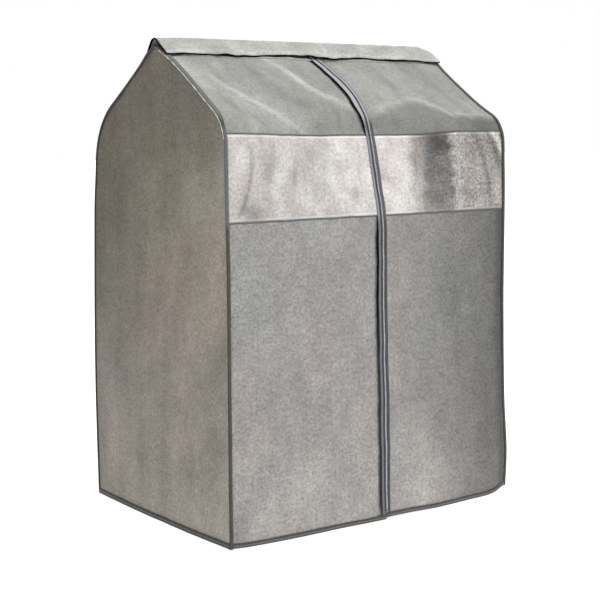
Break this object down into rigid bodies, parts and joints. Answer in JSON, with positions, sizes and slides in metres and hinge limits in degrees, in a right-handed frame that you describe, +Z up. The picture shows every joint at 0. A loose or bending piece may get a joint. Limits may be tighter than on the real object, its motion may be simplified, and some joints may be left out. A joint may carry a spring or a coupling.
{
  "type": "printer enclosure tent",
  "caption": "Gable-roofed fabric enclosure tent on a tube frame, with a window strip, a full-height zip between opening front flaps, bound edges and a flap along the ridge.",
  "frame": {"origin": "on the floor, under the middle of the tent's footprint", "axes": "+Z up; +X along the ridge, to the right as seen from the zipped front; the front faces -Y"},
  "size_m": [0.9, 0.64, 1.2218],
  "materials": {
    "roof_cloth": "matte",
    "body_cloth": "matte",
    "side_cloth": "matte",
    "window_film": "satin",
    "binding_tape": "matte",
    "zip_tape": "matte",
    "zip_coil": "satin",
    "zip_metal": "satin",
    "hook_and_loop": "matte",
    "steel_tube": "satin",
    "fitting_plastic": "matte"
  },
  "bodies": {
    "root": {"post_front_left": "steel_tube", "rafter_front_left": "steel_tube", "shoulder_elbow_front_left": "fitting_plastic", "base_connector_front_left": "fitting_plastic", "binding_front_left": "binding_tape", "post_front_right": "steel_tube", "rafter_front_right": "steel_tube", "shoulder_elbow_front_right": "fitting_plastic", "base_connector_front_right": "fitting_plastic", "binding_front_right": "binding_tape", "post_back_left": "steel_tube", "rafter_back_left": "steel_tube", "shoulder_elbow_back_left": "fitting_plastic", "base_connector_back_left": "fitting_plastic", "binding_back_left": "binding_tape", "post_back_right": "steel_tube", "rafter_back_right": "steel_tube", "shoulder_elbow_back_right": "fitting_plastic", "base_connector_back_right": "fitting_plastic", "binding_back_right": "binding_tape", "ridge_connector_left": "fitting_plastic", "roof_front_left": "roof_cloth", "side_left": "side_cloth", "hem_left": "binding_tape", "zip_tape_roof_left": "zip_tape", "zip_coil_roof_left": "zip_coil", "loop_strip_left": "hook_and_loop", "ridge_connector_right": "fitting_plastic", "roof_front_right": "roof_cloth", "side_right": "side_cloth", "hem_right": "binding_tape", "zip_tape_roof_right": "zip_tape", "zip_coil_roof_right": "zip_coil", "loop_strip_right": "hook_and_loop", "ridge_rail": "steel_tube", "base_rail_front": "steel_tube", "base_rail_back": "steel_tube", "base_rail_left": "steel_tube", "base_rail_right": "steel_tube", "roof_back": "roof_cloth", "back_panel": "body_cloth", "hem_back": "binding_tape", "cap_back_strip": "roof_cloth", "zip_top_stop": "zip_metal"},
    "door_left": {"window_left": "window_film", "front_panel_left": "body_cloth", "hem_front_left": "binding_tape", "zip_tape_door_left": "zip_tape", "zip_coil_door_left": "zip_coil", "zip_insertion_pin": "zip_metal"},
    "door_right": {"window_right": "window_film", "front_panel_right": "body_cloth", "hem_front_right": "binding_tape", "zip_tape_door_right": "zip_tape", "zip_coil_door_right": "zip_coil", "zip_retainer_box": "zip_metal"},
    "ridge_flap": {"cap_front_flap": "roof_cloth", "flap_hook_strip": "hook_and_loop"},
    "zip_runner": {"zip_slider": "zip_metal", "zip_pull": "zip_metal"}
  },
  "joints": [
    {"name": "door_left_swing", "type": "hinge", "parent": "root", "child": "door_left", "pos_m": [-0.43785, -0.32, 0], "axis": [0, 0, -1], "range_deg": [0, 75]},
    {"name": "door_right_swing", "type": "hinge", "parent": "root", "child": "door_right", "pos_m": [0.43785, -0.32, 0], "axis": [0, 0, 1], "range_deg": [0, 75]},
    {"name": "ridge_flap_lift", "type": "hinge", "parent": "root", "child": "ridge_flap", "pos_m": [0, 0, 1.22177], "axis": [-1, 0, 0], "range_deg": [0, 150]},
    {"name": "zip_slider_travel", "type": "slide", "parent": "root", "child": "zip_runner", "axis": [0, -0.8504, -0.5262], "range_m": [0, 0.24]}
  ]
}
